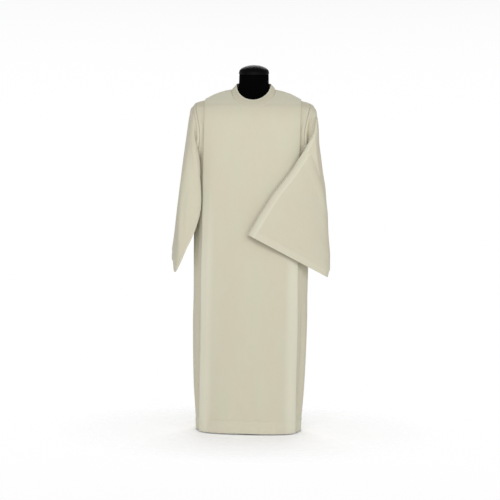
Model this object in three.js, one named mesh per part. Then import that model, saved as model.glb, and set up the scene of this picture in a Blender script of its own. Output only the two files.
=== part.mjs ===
// An alb, a long ivory church vestment, worn by a black limbless dress form on a
// round stand. Millimetres, +Z up, the front faces -Y, the wearer's left is +X.
// The origin is the middle of the stand's underside. Each cloth piece is a closed
// wall whose outer face follows the section, collar and sleeve tables below.
import * as THREE from 'three';

// ---- driving dimensions ----
const clothThickness = 2;
const hemThickness = 3;          // turned-up hems are doubled
const hemDepth = 50;
const seamGap = 0.4;             // between pieces that are sewn together
const neckGap = 2.3;             // the panels' cut edge below the collar seam
const panelHalfWidth = 198;      // folded edge of the front and back panels
const panelReturn = 22;          // cloth folded back under a panel's edge
const foldGap = 2.4;             // air inside that fold
const sideStart = 180;           // side pieces begin under the panels
const sideInset = 8.8;           // and lie this deep behind the panels' face
const ridgeY = 8;                // shoulder and side seams lie in this plane
const hemZ = 5;                  // hem above the floor
const bendZ = 1180;              // below it a panel's rows are evenly spaced

const ivory = { color: 0xd8d4bf, roughness: 0.85, metalness: 0 };
const blackJersey = { color: 0x0b0b0c, roughness: 0.7, metalness: 0 };
const blackSteel = { color: 0x18181a, roughness: 0.45, metalness: 0.6 };

// Horizontal sections of the gown: half width, depth to front and to back of the
// side seams' plane, and how square the section is.
const gown = [
  { z: 1412, halfWidth: 92, front: 10, back: 64, square: 2.4 },
  { z: 1405, halfWidth: 121, front: 20, back: 72, square: 2.5 },
  { z: 1392, halfWidth: 158, front: 37, back: 80, square: 2.6 },
  { z: 1370, halfWidth: 200, front: 63, back: 89, square: 2.7 },
  { z: 1350, halfWidth: 238, front: 85, back: 95, square: 2.8 },
  { z: 1328, halfWidth: 254, front: 106, back: 101, square: 2.9 },
  { z: 1280, halfWidth: 262, front: 124, back: 110, square: 3 },
  { z: 1200, halfWidth: 256, front: 130, back: 119, square: 3 },
  { z: 1100, halfWidth: 243, front: 130, back: 123, square: 3.1 },
  { z: 900, halfWidth: 240, front: 132, back: 127, square: 3.1 },
  { z: 700, halfWidth: 238, front: 138, back: 134, square: 3.1 },
  { z: 400, halfWidth: 233, front: 150, back: 147, square: 3.1 },
  { z: 200, halfWidth: 227, front: 160, back: 157, square: 3.1 },
  { z: 0, halfWidth: 217, front: 170, back: 166, square: 3.1 },
];

// The neckline lies on the gown; the collar leans in from it to its top edge.
const neckline = { halfWidth: 92, sideZ: 1411, frontZ: 1328, backZ: 1411 };
const collarTop = { halfWidth: 71, front: 76, back: 68, y: 3, sideZ: 1433, frontZ: 1358, backZ: 1446 };

// The armhole's seam on the gown: its middle height, half height, and how far it
// cuts in from the side, as an angle on the gown's section.
const armhole = { z: 1226, halfHeight: 130, cut: 0.72 };

// Sleeve sections. Each is a closed curve through the over edge, the front side,
// the under edge and the back side; front and back are measured from the middle
// of the two edges, and x is away from the neck.
const sleeveRight = [
  { over: [246, 8, 1347], under: [247, 8, 1088], front: [-20, -88, 6], back: [-16, 84, 6], square: 2.1 },
  { over: [262, 8, 1328], under: [248, 8, 1074], front: [-20, -94, 4], back: [-10, 88, 2], square: 2.2 },
  { over: [270, 7, 1280], under: [247, 8, 1056], front: [-20, -104, 2], back: [-6, 92, 0], square: 2.3 },
  { over: [280, 6, 1200], under: [246, 10, 1030], front: [-24, -114, 0], back: [-4, 96, 0], square: 2.3 },
  { over: [292, 5, 1110], under: [245, 10, 1000], front: [-30, -120, -4], back: [-2, 100, -4], square: 2.3 },
  { over: [304, 5, 1010], under: [245, 10, 970], front: [-36, -124, -12], back: [-2, 102, -8], square: 2.3 },
  { over: [316, 6, 900], under: [244, 10, 940], front: [-38, -124, -24], back: [-2, 104, -14], square: 2.4 },
  { over: [326, 8, 800], under: [243, 10, 912], front: [-36, -122, -40], back: [0, 106, -20], square: 2.4 },
  { over: [333, 8, 742], under: [240, 8, 892], front: [-30, -118, -54], back: [2, 106, -26], square: 2.4 },
  { over: [334, 8, 694], under: [238, 6, 872], front: [-24, -114, -64], back: [4, 106, -30], square: 2.4 },
];
const sleeveLeft = [
  { over: [247, -2, 1346], under: [250, 6, 1082], front: [-22, -78, 8], back: [-6, 78, 0], square: 2.2 },
  { over: [263, -24, 1324], under: [266, 4, 1056], front: [-26, -62, 5], back: [14, 60, 0], square: 2.3 },
  { over: [267, -66, 1286], under: [283, -4, 1014], front: [-28, -44, 0], back: [24, 32, 0], square: 2.5 },
  { over: [262, -98, 1232], under: [298, -16, 952], front: [-24, -34, 0], back: [22, -2, 0], square: 2.7 },
  { over: [230, -113, 1158], under: [309, -28, 884], front: [-12, -18, 0], back: [12, -26, 0], square: 2.9 },
  { over: [168, -125, 1072], under: [318, -38, 808], front: [-2, -14, 0], back: [6, -30, 0], square: 3 },
  { over: [92, -135, 972], under: [325, -46, 732], front: [0, -16, 0], back: [2, -38, 0], square: 3 },
  { over: [32, -139, 876], under: [325, -52, 674], front: [0, -18, 0], back: [2, -42, 0], square: 3 },
  { over: [-8, -141, 805], under: [317, -56, 638], front: [0, -20, 0], back: [0, -44, 0], square: 3 },
];

// The form's sections, from the closed hips up to the neck, about y.
const form = [
  { z: 872, halfWidth: 92, depth: 66, y: 10, square: 2.2 },
  { z: 880, halfWidth: 136, depth: 96, y: 10, square: 2.3 },
  { z: 930, halfWidth: 156, depth: 106, y: 10, square: 2.3 },
  { z: 1000, halfWidth: 150, depth: 102, y: 10, square: 2.3 },
  { z: 1080, halfWidth: 148, depth: 98, y: 8, square: 2.3 },
  { z: 1180, halfWidth: 162, depth: 98, y: 8, square: 2.3 },
  { z: 1260, halfWidth: 172, depth: 88, y: 10, square: 2.2 },
  { z: 1310, halfWidth: 174, depth: 74, y: 12, square: 2.1 },
  { z: 1345, halfWidth: 168, depth: 62, y: 14, square: 1.9 },
  { z: 1368, halfWidth: 156, depth: 57, y: 14, square: 1.7 },
  { z: 1384, halfWidth: 136, depth: 55, y: 13, square: 1.5 },
  { z: 1396, halfWidth: 106, depth: 54, y: 12, square: 1.5 },
  { z: 1406, halfWidth: 78, depth: 54, y: 10, square: 1.8 },
  { z: 1418, halfWidth: 65, depth: 54, y: 8, square: 2 },
  { z: 1474, halfWidth: 61, depth: 56, y: 5, square: 2 },
];
const neckCap = { halfWidth: 62.5, depth: 59, y: 4, rim: 9, dome: 26, gap: 0.4 };
const neckTilt = 0.2;            // the neck's top and its cap slope to the front
const pole = { radius: 17, y: 10 };
const base = { radius: 145, thickness: 9, bevel: 3, hubRadius: 38, hubHeight: 12 };

// ---- curves through the tables ----
const clamp = (v, low, high) => Math.min(high, Math.max(low, v));
const mix = (a, b, t) => a + (b - a) * t;
const ease = (t) => t * t * (3 - 2 * t);
const signedPower = (v, p) => Math.sign(v) * Math.abs(v) ** p;

// A smooth curve through a table's column, read at a value of its key column.
function along(table, key, name, at) {
  const up = table[1][key] > table[0][key] ? 1 : -1;
  let i = 0;
  while (i < table.length - 2 && up * table[i + 1][key] < up * at) i++;
  const slope = (k) => {
    const low = table[Math.max(k - 1, 0)];
    const high = table[Math.min(k + 1, table.length - 1)];
    return (high[name] - low[name]) / (high[key] - low[key]);
  };
  const span = table[i + 1][key] - table[i][key];
  const t = clamp((at - table[i][key]) / span, 0, 1);
  const [a, b] = [table[i][name], table[i + 1][name]];
  const [ma, mb] = [slope(i) * span, slope(i + 1) * span];
  return a + t * (ma + t * (3 * (b - a) - 2 * ma - mb + t * (2 * (a - b) + ma + mb)));
}

const halfWidthAt = (z) => along(gown, 'z', 'halfWidth', z);

// The highest z at which the shoulders reach as far as inside(z) asks.
function shoulderHeight(inside) {
  let low = 1300;
  let high = gown[0].z;
  for (let i = 0; i < 30; i++) {
    const middle = (low + high) / 2;
    if (inside(middle)) low = middle;
    else high = middle;
  }
  return low;
}

// Height of the shoulder ridge at a distance from the neck's middle.
function ridgeZ(x) {
  return shoulderHeight((z) => halfWidthAt(z) > Math.abs(x));
}

// How far out a point lies: 1 on the gown's face, more outside it.
function gownReach(p) {
  const square = along(gown, 'z', 'square', p.z);
  const depth = along(gown, 'z', p.y < ridgeY ? 'front' : 'back', p.z);
  const sum = (Math.abs(p.x) / halfWidthAt(p.z)) ** square + (Math.abs(p.y - ridgeY) / depth) ** square;
  return sum ** (1 / square);
}

function gownNormal(p) {
  const step = 0.5;
  const change = (x, y, z) => {
    const offset = new THREE.Vector3(x, y, z).multiplyScalar(step);
    return gownReach(p.clone().add(offset)) - gownReach(p.clone().sub(offset));
  };
  return new THREE.Vector3(change(1, 0, 0), change(0, 1, 0), change(0, 0, 1)).normalize();
}

// The gown's face at an angle from the side seam, moved in by a depth.
function gownAtAngle(angle, z, face, inward) {
  const square = along(gown, 'z', 'square', z);
  const depth = along(gown, 'z', face < 0 ? 'front' : 'back', z);
  const x = halfWidthAt(z) * Math.cos(angle) ** (2 / square);
  const y = ridgeY + face * Math.max(depth * Math.sin(angle) ** (2 / square), seamGap / 2);
  const p = new THREE.Vector3(x, y, z);
  return inward === 0 ? p : keepSide(p.addScaledVector(gownNormal(p), -inward), face);
}

function angleAtX(x, z) {
  const square = along(gown, 'z', 'square', z);
  return Math.acos(clamp(Math.abs(x) / halfWidthAt(z), 0, 1) ** (square / 2));
}

function gownAtX(x, z, face, inward) {
  const p = gownAtAngle(angleAtX(x, z), z, face, inward);
  p.x *= x < 0 ? -1 : 1;
  return p;
}

// Front pieces stay in front of the seams' plane, back pieces behind it.
function keepSide(p, face) {
  const limit = ridgeY + face * seamGap / 2;
  p.y = face < 0 ? Math.min(p.y, limit) : Math.max(p.y, limit);
  return p;
}

function necklinePoint(angle) {
  const s = Math.sin(angle);
  const face = s < 0 ? -1 : 1;
  const z = mix(neckline.sideZ, face < 0 ? neckline.frontZ : neckline.backZ, Math.abs(s));
  return gownAtX(neckline.halfWidth * Math.cos(angle), z, face, 0);
}

// Where a panel's cut edge lies: just outside the neckline.
function neckCutPoint(angle) {
  const p = necklinePoint(angle);
  const grow = 1 + neckGap / Math.hypot(p.x, p.y - ridgeY);
  const cut = new THREE.Vector3(p.x * grow, ridgeY + (p.y - ridgeY) * grow, 0);
  cut.z = shoulderHeight((z) => gownReach(new THREE.Vector3(cut.x, cut.y, z)) < 1);
  return cut;
}

function collarTopPoint(angle) {
  const s = Math.sin(angle);
  const depth = s < 0 ? collarTop.front : collarTop.back;
  const z = mix(collarTop.sideZ, s < 0 ? collarTop.frontZ : collarTop.backZ, Math.abs(s));
  return new THREE.Vector3(collarTop.halfWidth * Math.cos(angle), collarTop.y + depth * s, z);
}

// ---- closed meshes ----
function meshFrom(name, points, faces, finish) {
  const geometry = new THREE.BufferGeometry();
  geometry.setAttribute('position', new THREE.Float32BufferAttribute(points.flatMap((p) => p.toArray()), 3));
  const volume = faces.reduce((sum, [a, b, c]) => (
    sum + points[a].dot(new THREE.Vector3().crossVectors(points[b], points[c]))
  ), 0);
  geometry.setIndex(faces.flatMap(([a, b, c]) => (volume < 0 ? [a, c, b] : [a, b, c])));
  geometry.computeVertexNormals();
  const mesh = new THREE.Mesh(geometry, new THREE.MeshStandardMaterial(finish));
  mesh.name = name;
  return mesh;
}

function gridNormal(grid, r, c, closed) {
  const columns = grid[0].length;
  const left = closed ? (c - 1 + columns) % columns : Math.max(c - 1, 0);
  const right = closed ? (c + 1) % columns : Math.min(c + 1, columns - 1);
  const across = new THREE.Vector3().subVectors(grid[r][right], grid[r][left]);
  const down = grid[Math.min(r + 1, grid.length - 1)][c];
  const downwards = new THREE.Vector3().subVectors(down, grid[Math.max(r - 1, 0)][c]);
  return across.cross(downwards).normalize();
}

// A wall from grid[row][column], its outer face. side is +1 or -1, the way to the
// inner face along the grid's normals; settle keeps inner points clear of a seam.
function wall(name, grid, side, thickness, { closed = false, settle = (p) => p } = {}) {
  const rows = grid.length;
  const columns = grid[0].length;
  const inner = grid.map((line, r) => line.map((p, c) => settle(
    p.clone().addScaledVector(gridNormal(grid, r, c, closed), side * thickness(r)),
  )));
  const points = [...grid.flat(), ...inner.flat()];
  const count = rows * columns;
  const index = (r, c) => r * columns + (c % columns);
  const lastColumn = closed ? columns : columns - 1;
  const faces = [];
  const quad = (a, b, c, d) => faces.push([a, b, c], [a, c, d]);
  for (let c = 0; c < lastColumn; c++) {
    for (let r = 0; r < rows - 1; r++) {
      const [a, b, d, e] = [index(r, c), index(r, c + 1), index(r + 1, c + 1), index(r + 1, c)];
      quad(a, b, d, e);
      quad(count + a, count + e, count + d, count + b);
    }
    const [top, topNext] = [index(0, c), index(0, c + 1)];
    const [low, lowNext] = [index(rows - 1, c), index(rows - 1, c + 1)];
    quad(topNext, top, count + top, count + topNext);
    quad(low, lowNext, count + lowNext, count + low);
  }
  for (let r = 0; r < rows - 1 && !closed; r++) {
    const [a, b] = [index(r, 0), index(r + 1, 0)];
    const [d, e] = [index(r, columns - 1), index(r + 1, columns - 1)];
    quad(a, b, count + b, count + a);
    quad(e, d, count + d, count + e);
  }
  return meshFrom(name, points, faces, ivory);
}

// A closed body through rings of points, with a fan at each end.
function loft(name, rings, finish) {
  const around = rings[0].length;
  const points = rings.flat();
  const faces = [];
  for (let r = 0; r < rings.length - 1; r++) {
    for (let c = 0; c < around; c++) {
      const [a, b] = [r * around + c, r * around + ((c + 1) % around)];
      faces.push([a, b, b + around], [a, b + around, a + around]);
    }
  }
  [0, rings.length - 1].forEach((r) => {
    const middle = rings[r].reduce((sum, p) => sum.add(p), new THREE.Vector3()).divideScalar(around);
    points.push(middle);
    for (let c = 0; c < around; c++) {
      const [a, b] = [r * around + c, r * around + ((c + 1) % around)];
      faces.push(r === 0 ? [b, a, points.length - 1] : [a, b, points.length - 1]);
    }
  });
  return meshFrom(name, points, faces, finish);
}

// Heights down a column: close together over the rounded shoulder, even below it,
// with a row at the top of the turned-up hem.
const skirtRows = 9;

function columnHeights(top, upperRows, bend) {
  const heights = [];
  for (let i = 0; i < upperRows; i++) heights.push(mix(top, bend, (i / upperRows) ** 1.8));
  for (let i = 0; i <= skirtRows; i++) heights.push(mix(bend, hemZ + hemDepth, i / skirtRows));
  heights.push(hemZ);
  return heights;
}

const hemmed = (rows) => (r) => (r >= rows - 2 ? hemThickness : clothThickness);

// ---- front and back panels ----
const panelUpperRows = 9;
const neckColumns = 7;           // columns on each side that start on the neckline
const shoulderColumns = 5;

// A panel's column: where it starts, and the x it hangs down to.
function panelColumn(face, share, inward, shift) {
  const neckShare = neckColumns / (neckColumns + shoulderColumns);
  const size = Math.abs(share);
  const inNeck = size < neckShare;
  const cut = neckCutPoint(face * (1 - size / neckShare) * Math.PI / 2);
  const shoulderShare = (size - neckShare) / (1 - neckShare);
  const topX = inNeck ? cut.x : mix(neckline.halfWidth + neckGap, panelHalfWidth, shoulderShare);
  const topZ = inNeck ? cut.z : ridgeZ(topX - shift);
  return columnHeights(topZ, panelUpperRows, bendZ).map((z) => {
    const x = mix(topX, size * panelHalfWidth, ease(clamp((topZ - z) / 160, 0, 1))) - shift;
    return gownAtX(x * (share < 0 ? -1 : 1), z, face, inward);
  });
}

function panel(name, face) {
  const foldDepth = 2 * clothThickness + foldGap;
  const folded = [
    { shift: panelReturn, depth: foldDepth },
    { shift: 4, depth: foldDepth },
    { shift: 0.8, depth: foldDepth * 0.8 },
    { shift: -0.6, depth: foldDepth * 0.45 },
  ];
  const half = neckColumns + shoulderColumns;
  const columns = folded.map((f) => panelColumn(face, -1, f.depth, f.shift));
  for (let i = -half; i <= half; i++) columns.push(panelColumn(face, i / half, 0, 0));
  columns.push(...folded.reverse().map((f) => panelColumn(face, 1, f.depth, f.shift)));
  const grid = columns[0].map((_, r) => columns.map((column) => column[r]));
  return wall(name, grid, -face, hemmed(grid.length), { settle: (p) => keepSide(p, face) });
}

// ---- side pieces, between a panel and the side seam ----
const sideColumns = 7;
const armholeRows = 14;
const armholeFoot = armhole.z - armhole.halfHeight;

function armholeAngle(turn) {
  return armhole.cut * Math.sin(turn) ** 0.85;
}

// Down a side piece's free edge: round the armhole, then down the side seam.
function freeEdge(row) {
  if (row >= armholeRows) {
    const below = (row - armholeRows) / skirtRows;
    return { angle: 0, z: below > 1 ? hemZ : mix(armholeFoot, hemZ + hemDepth, below) };
  }
  const turn = (row / armholeRows) * Math.PI;
  return { angle: armholeAngle(turn), z: armhole.z + armhole.halfHeight * Math.cos(turn) };
}

function sidePiece(name, face, hand) {
  const heights = columnHeights(ridgeZ(sideStart), armholeRows, armholeFoot);
  const grid = heights.map((startZ, r) => Array.from({ length: sideColumns + 1 }, (_, c) => {
    const share = c / sideColumns;
    const end = freeEdge(r);
    const z = mix(startZ, end.z, share);
    const inward = mix(sideInset, 0.6, ease(clamp((share - 0.45) / 0.55, 0, 1)));
    const p = gownAtAngle(mix(angleAtX(sideStart, startZ), end.angle, share), z, face, inward);
    return new THREE.Vector3(hand * p.x, p.y, p.z);
  }));
  return wall(name, grid, hand * -face, hemmed(grid.length), { settle: (p) => keepSide(p, face) });
}

// ---- sleeves ----
const sleeveAround = 2 * armholeRows;
const armholeMargin = 0.2;
const seamStand = 9;             // a sleeve first leaves the armhole sideways

// Sleeves hang just clear of the gown: a point over its cloth, so outside the
// armhole, that is closer than the clearance moves out.
function clearOfGown(p, clearance) {
  const square = along(gown, 'z', 'square', p.z);
  const depth = along(gown, 'z', p.y < ridgeY ? 'front' : 'back', p.z);
  const out = (Math.abs(p.x) / halfWidthAt(p.z)) ** (square / 2);
  const angle = Math.atan2((Math.abs(p.y - ridgeY) / depth) ** (square / 2), out);
  const cut = armholeAngle(Math.acos(clamp((p.z - armhole.z) / armhole.halfHeight, -1, 1)));
  const share = ease(clamp((angle - cut) / armholeMargin + 1, 0, 1));
  const reach = gownReach(p);
  const wanted = 1 + clearance / depth;
  if (reach >= wanted) return p;
  const grow = mix(1, wanted / reach, share);
  return new THREE.Vector3(p.x * grow, ridgeY + (p.y - ridgeY) * grow, p.z);
}

function sleevePoint(section, turn, nearGap, farGap) {
  const over = new THREE.Vector3(...section.over);
  const under = new THREE.Vector3(...section.under);
  const middle = over.clone().add(under).multiplyScalar(0.5);
  const edge = over.sub(middle).multiplyScalar(signedPower(Math.cos(turn), 2 / section.square));
  const toFront = Math.sin(turn) > 0;
  const bulge = new THREE.Vector3(...(toFront ? section.front : section.back));
  bulge.multiplyScalar(Math.abs(Math.sin(turn)) ** (2 / section.square));
  return clearOfGown(middle.add(edge).add(bulge), mix(nearGap, farGap, toFront ? 0 : Math.abs(Math.sin(turn))));
}

function sleeve(name, sections, hand, nearGap, farGap) {
  const turns = Array.from({ length: sleeveAround }, (_, i) => (i / sleeveAround) * 2 * Math.PI);
  const seam = turns.map((turn) => {
    const half = Math.min(turn, 2 * Math.PI - turn);
    const z = armhole.z + armhole.halfHeight * Math.cos(half);
    const p = gownAtAngle(armholeAngle(half), z, turn < Math.PI ? -1 : 1, 0);
    return p.add(new THREE.Vector3(3 * seamGap, 0, -seamGap * Math.cos(half)));
  });
  const grid = [seam, seam.map((p) => p.clone().add(new THREE.Vector3(seamStand, 0, 0)))];
  sections.forEach((section, i) => {
    const next = sections[i + 1];
    grid.push(turns.map((turn) => sleevePoint(section, turn, nearGap, farGap)));
    if (!next) return;
    const between = Object.fromEntries(['over', 'under', 'front', 'back'].map(
      (key) => [key, section[key].map((v, k) => (v + next[key][k]) / 2)],
    ));
    between.square = (section.square + next.square) / 2;
    grid.push(turns.map((turn) => sleevePoint(between, turn, nearGap, farGap)));
  });
  grid.forEach((line) => line.forEach((p) => { p.x *= hand; }));
  return wall(name, grid, -hand, hemmed(grid.length), { closed: true });
}

// ---- collar ----
const collarAround = 48;
const collarRows = 3;

function collar() {
  const grid = [];
  for (let r = 0; r <= collarRows; r++) {
    grid.push(Array.from({ length: collarAround }, (_, c) => {
      const angle = (c / collarAround) * 2 * Math.PI;
      return necklinePoint(angle).lerp(collarTopPoint(angle), r / collarRows);
    }));
  }
  return wall('collar', grid, -1, () => clothThickness, { closed: true });
}

// ---- dress form and stand ----
const formAround = 32;

function sectionRing(section, tilt = 0) {
  return Array.from({ length: formAround }, (_, c) => {
    const angle = (c / formAround) * 2 * Math.PI;
    const power = 2 / section.square;
    const x = section.halfWidth * signedPower(Math.cos(angle), power);
    const y = section.depth * signedPower(Math.sin(angle), power);
    return new THREE.Vector3(x, section.y + y, section.z + tilt * y);
  });
}

function dressForm() {
  const names = ['halfWidth', 'depth', 'y', 'square'];
  const rings = [];
  form.forEach((section, i) => {
    const steps = i === form.length - 1 ? 1 : 2;
    for (let s = 0; s < steps; s++) {
      const z = s === 0 ? section.z : (section.z + form[i + 1].z) / 2;
      const ring = Object.fromEntries(names.map((name) => [name, along(form, 'z', name, z)]));
      rings.push(sectionRing({ ...ring, z }, i === form.length - 1 ? neckTilt : 0));
    }
  });
  return loft('form_torso', rings, blackJersey);
}

function cap() {
  const rows = 7;
  const neckTop = form[form.length - 1];
  const foot = neckTop.z + neckCap.gap + neckTilt * (neckCap.y - neckTop.y);
  const section = (shrink, z) => sectionRing({
    halfWidth: neckCap.halfWidth * shrink, depth: neckCap.depth * shrink, y: neckCap.y, square: 2, z,
  }, neckTilt);
  const rings = [section(1, foot)];
  for (let i = 0; i < rows; i++) {
    const turn = (i / rows) * Math.PI / 2;
    rings.push(section(Math.cos(turn) ** 0.8, foot + neckCap.rim + neckCap.dome * Math.sin(turn)));
  }
  return loft('form_neck_cap', rings, blackJersey);
}

function turned(name, profile, y) {
  const points = profile.map(([radius, z]) => new THREE.Vector2(radius, z));
  const geometry = new THREE.LatheGeometry(points, formAround);
  geometry.rotateX(Math.PI / 2);
  const mesh = new THREE.Mesh(geometry, new THREE.MeshStandardMaterial(blackSteel));
  mesh.name = name;
  mesh.position.y = y;
  return mesh;
}

function stand() {
  const top = form[0].z - seamGap;
  const hubTop = base.thickness + base.hubHeight;
  const plate = turned('stand_base', [
    [0, 0], [base.radius, 0], [base.radius, base.thickness - base.bevel],
    [base.radius - base.bevel, base.thickness], [base.hubRadius, base.thickness],
    [base.hubRadius - base.bevel, hubTop], [0, hubTop],
  ], 0);
  const tube = turned('stand_pole', [
    [0, hubTop + seamGap], [pole.radius, hubTop + seamGap], [pole.radius, top], [0, top],
  ], pole.y);
  return [plate, tube];
}

const group = new THREE.Group();
group.add(panel('front_panel', -1), panel('back_panel', 1));
group.add(sidePiece('side_front_right', -1, -1), sidePiece('side_front_left', -1, 1));
group.add(sidePiece('side_back_right', 1, -1), sidePiece('side_back_left', 1, 1));
group.add(sleeve('sleeve_right', sleeveRight, -1, 4, 4), sleeve('sleeve_left', sleeveLeft, 1, 4, 18));
group.add(collar(), dressForm(), cap(), ...stand());
export default group;
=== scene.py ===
import math

import bmesh
import bpy
from mathutils import Matrix, Vector

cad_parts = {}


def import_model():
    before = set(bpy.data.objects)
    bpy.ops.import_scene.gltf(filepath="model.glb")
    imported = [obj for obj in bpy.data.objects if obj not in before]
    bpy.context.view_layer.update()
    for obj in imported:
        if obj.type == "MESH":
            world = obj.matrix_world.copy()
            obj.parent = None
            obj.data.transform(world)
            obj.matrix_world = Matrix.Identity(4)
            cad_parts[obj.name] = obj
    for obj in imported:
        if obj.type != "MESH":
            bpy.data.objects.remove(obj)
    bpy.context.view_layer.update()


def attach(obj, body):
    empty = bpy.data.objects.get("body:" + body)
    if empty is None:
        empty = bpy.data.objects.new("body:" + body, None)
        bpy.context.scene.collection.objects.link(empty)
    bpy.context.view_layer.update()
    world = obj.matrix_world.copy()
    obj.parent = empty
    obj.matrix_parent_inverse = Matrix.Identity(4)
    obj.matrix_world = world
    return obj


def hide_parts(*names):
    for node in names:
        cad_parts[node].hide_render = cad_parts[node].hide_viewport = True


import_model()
print("frame loaded")

# The garment is worked out in millimetres, as it is cut; meshes are in metres.
mm = 0.001
seamY = 8.0  # shoulder and side seams lie in this plane
hemZ = 5.0
hemDepth = 50.0
clothWall = 1.5 * mm


def clamp(value, low, high):
    return min(high, max(low, value))


def mix(a, b, t):
    return a + (b - a) * t


def ease(t):
    t = clamp(t, 0.0, 1.0)
    return t * t * (3 - 2 * t)


def bump(distance, width):
    return math.exp(-((distance / width) ** 2))


def signedPower(value, power):
    return math.copysign(abs(value) ** power, value)


# the gown's form in level sections: z, half width, depth to front and to back, squareness
gownSections = [
    (1412, 92, 10, 64, 2.4), (1405, 121, 20, 72, 2.5), (1392, 158, 37, 80, 2.6),
    (1370, 200, 63, 89, 2.7), (1350, 238, 85, 95, 2.8), (1328, 254, 106, 101, 2.9),
    (1280, 262, 124, 110, 3.0), (1200, 256, 130, 119, 3.0), (1100, 243, 130, 123, 3.1),
    (900, 240, 132, 127, 3.1), (700, 238, 138, 134, 3.1), (400, 233, 150, 147, 3.1),
    (200, 227, 160, 157, 3.1), (0, 217, 170, 166, 3.1),
]
gownTop = gownSections[0][0]
neckline = {"halfWidth": 92, "frontDepth": 104, "backDepth": 64,
            "sideZ": 1411, "frontZ": 1328, "backZ": 1411, "cut": 0.3}
collarTop = {"halfWidth": 71, "front": 76, "back": 68, "y": 3,
             "sideZ": 1433, "frontZ": 1358, "backZ": 1446}
armhole = {"z": 1226, "halfHeight": 130, "cut": 0.72}


def curveThrough(rows, at):
    # every column of a table, smoothly, at a value of its first column
    up = 1 if rows[1][0] > rows[0][0] else -1
    i = 0
    while i < len(rows) - 2 and up * rows[i + 1][0] < up * at:
        i += 1
    span = rows[i + 1][0] - rows[i][0]
    t = clamp((at - rows[i][0]) / span, 0.0, 1.0)

    def slope(k, column):
        low, high = rows[max(k - 1, 0)], rows[min(k + 1, len(rows) - 1)]
        return (high[column] - low[column]) / (high[0] - low[0]) * span

    values = []
    for column in range(1, len(rows[0])):
        a, b = rows[i][column], rows[i + 1][column]
        ma, mb = slope(i, column), slope(i + 1, column)
        values.append(a + t * (ma + t * (3 * (b - a) - 2 * ma - mb + t * (2 * (a - b) + ma + mb))))
    return values


gownByMillimetre = [curveThrough(gownSections, z) for z in range(gownTop + 1)]


def gownAt(z):
    z = clamp(z, 0.0, gownTop - 0.001)
    low = int(z)
    return [mix(a, b, z - low) for a, b in zip(gownByMillimetre[low], gownByMillimetre[low + 1])]


def gownReach(p):
    # 1 on the gown's face, more outside it
    halfWidth, front, back, square = gownAt(p.z)
    depth = front if p.y < seamY else back
    return ((abs(p.x) / halfWidth) ** square + (abs(p.y - seamY) / depth) ** square) ** (1 / square)


def gownNormal(p, step=0.8):
    def change(axis):
        offset = Vector((0, 0, 0))
        offset[axis] = step
        return gownReach(p + offset) - gownReach(p - offset)
    return Vector((change(0), change(1), change(2))).normalized()


def keepSide(p, face, gap=0.05):
    limit = seamY + face * gap
    p.y = min(p.y, limit) if face < 0 else max(p.y, limit)
    return p


def gownAtAngle(angle, z, face, inward=0.0):
    halfWidth, front, back, square = gownAt(z)
    depth = front if face < 0 else back
    x = halfWidth * max(math.cos(angle), 0.0) ** (2 / square)
    y = seamY + face * max(depth * max(math.sin(angle), 0.0) ** (2 / square), 0.05)
    p = Vector((x, y, z))
    return keepSide(p - gownNormal(p) * inward, face) if inward else p


def angleAtX(x, z):
    halfWidth, _, _, square = gownAt(z)
    return math.acos(clamp(abs(x) / halfWidth, 0.0, 1.0) ** (square / 2))


def gownAtX(x, z, face, inward=0.0):
    p = gownAtAngle(angleAtX(x, z), z, face, inward)
    p.x *= -1 if x < 0 else 1
    return p


def shoulderHeight(inside):
    # the height at which a place leaves the gown, found by halving
    low, high = 1300.0, float(gownTop)
    for _ in range(24):
        middle = (low + high) / 2
        low, high = (middle, high) if inside(middle) else (low, middle)
    return low


def ridgeZ(x):
    return shoulderHeight(lambda z: gownAt(z)[0] > abs(x))


def necklinePoint(angle):
    s = math.sin(angle)
    face = -1 if s < 0 else 1
    z = mix(neckline["sideZ"], neckline["frontZ"] if face < 0 else neckline["backZ"], abs(s))
    return gownAtX(neckline["halfWidth"] * math.cos(angle), z, face)


def neckCutPoint(angle):
    p = necklinePoint(angle)
    grow = 1 + neckline["cut"] / math.hypot(p.x, p.y - seamY)
    x, y = p.x * grow, seamY + (p.y - seamY) * grow
    return Vector((x, y, shoulderHeight(lambda z: gownReach(Vector((x, y, z))) < 1)))


def collarTopPoint(angle):
    s = math.sin(angle)
    depth = collarTop["front"] if s < 0 else collarTop["back"]
    z = mix(collarTop["sideZ"], collarTop["frontZ"] if s < 0 else collarTop["backZ"], abs(s))
    return Vector((collarTop["halfWidth"] * math.cos(angle), collarTop["y"] + depth * s, z))


def hemRelief(above, across, depth=hemDepth):
    # a turned-up hem: a stitched groove, and doubled cloth a little proud below it
    pucker = 0.2 * math.sin(across * 0.31) + 0.16 * math.sin(across * 0.173 + 1.3)
    groove = -(1.3 + pucker) * bump(above - depth, 4.5)
    below = depth - above
    return groove + 0.6 * ease(below / 6) + pucker * ease(below / 20) * ease((depth - below) / 12)


def toObject(bm, name):
    mesh = bpy.data.meshes.new(name)
    bm.to_mesh(mesh)
    bm.free()
    piece = bpy.data.objects.new(name, mesh)
    bpy.context.collection.objects.link(piece)
    return piece


def finishPiece(piece, material, nodes):
    piece.data.materials.append(material)
    for polygon in piece.data.polygons:
        polygon.use_smooth = True
    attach(piece, "root")
    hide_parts(*nodes)
    print("made", piece.name, len(piece.data.polygons), "faces")
    return piece


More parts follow.
